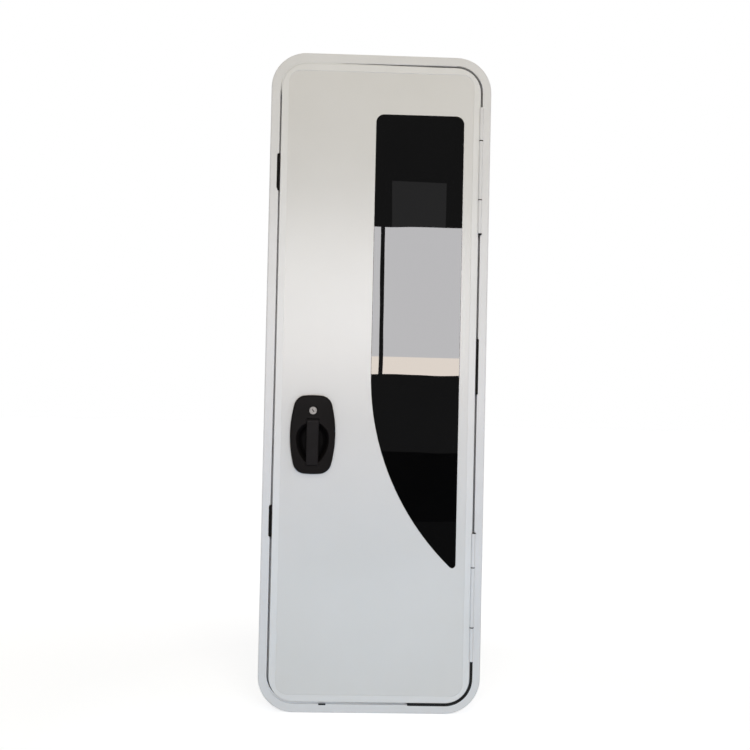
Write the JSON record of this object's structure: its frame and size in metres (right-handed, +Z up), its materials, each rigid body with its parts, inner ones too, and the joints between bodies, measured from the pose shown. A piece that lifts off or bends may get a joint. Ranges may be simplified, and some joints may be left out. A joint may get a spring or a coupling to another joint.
{
  "type": "caravan entry door",
  "caption": "White insulated caravan entry door in its bent aluminium frame, with a dark curved window, outside pull lock and side hinges.",
  "frame": {"origin": "on the back face of the frame's flange, where it meets the caravan wall, halfway across the flange's bottom strip", "axes": "+X right as seen from outside, +Z up, +Y inwards through the wall, so the outside faces -Y"},
  "size_m": [0.622, 0.0735, 1.85],
  "materials": {
    "white_frame": "satin white powder coat",
    "white_skin": "satin white",
    "foam": "cut foam",
    "dark_pane": "polished dark acrylic",
    "black_rubber": "matt",
    "black_plastic": "fine texture",
    "grey_trim": "satin",
    "steel": "zinc plated",
    "bright_metal": "satin nickel"
  },
  "bodies": {
    "frame": {"outer_frame": "white_frame", "frame_seal": "black_rubber", "corner_seal_strip": "black_rubber", "upper_left_pad": "black_plastic", "lower_left_pad": "black_plastic", "right_pad": "black_plastic", "sill_pad": "black_plastic", "strike_plate": "steel", "upper_hinge_frame_side": "white_frame", "lower_hinge_frame_side": "white_frame", "upper_hinge_pin": "steel", "lower_hinge_pin": "steel", "upper_hinge_washers": "black_plastic", "lower_hinge_washers": "black_plastic"},
    "leaf": {"leaf_edge_trim": "white_frame", "outer_skin": "white_skin", "core_head_board": "foam", "core_lock_side_board": "foam", "core_hinge_side_board": "foam", "core_lock_board": "foam", "core_knee_board": "foam", "core_foot_board": "foam", "inner_skin": "white_skin", "window_pane": "dark_pane", "window_gasket": "black_rubber", "window_inner_trim": "grey_trim", "upper_hinge_leaf_side": "white_frame", "lower_hinge_leaf_side": "white_frame", "lock_escutcheon": "black_plastic", "handle_pivot_pin": "steel", "cylinder_housing": "bright_metal", "lock_case": "steel", "latch_faceplate": "steel", "latch_bolt": "steel", "inside_escutcheon": "black_plastic", "inside_lever": "black_plastic"},
    "pull": {"pull_bar": "black_plastic"},
    "key": {"key_plug": "bright_metal"}
  },
  "joints": [
    {"name": "door_swing", "type": "hinge", "parent": "frame", "child": "leaf", "pos_m": [0.284, -0.008, 0.9145], "axis": [0, 0, 1], "range_deg": [0, 170]},
    {"name": "handle_pull", "type": "hinge", "parent": "leaf", "child": "pull", "pos_m": [-0.1733, -0.008, 0.8002], "axis": [-1, 0, 0], "range_deg": [0, 28], "stiffness_Nm_per_rad": 0.6},
    {"name": "key_turn", "type": "hinge", "parent": "leaf", "child": "key", "pos_m": [-0.1733, -0.0165, 0.8315], "axis": [0, -1, 0], "range_deg": [0, 90]}
  ]
}
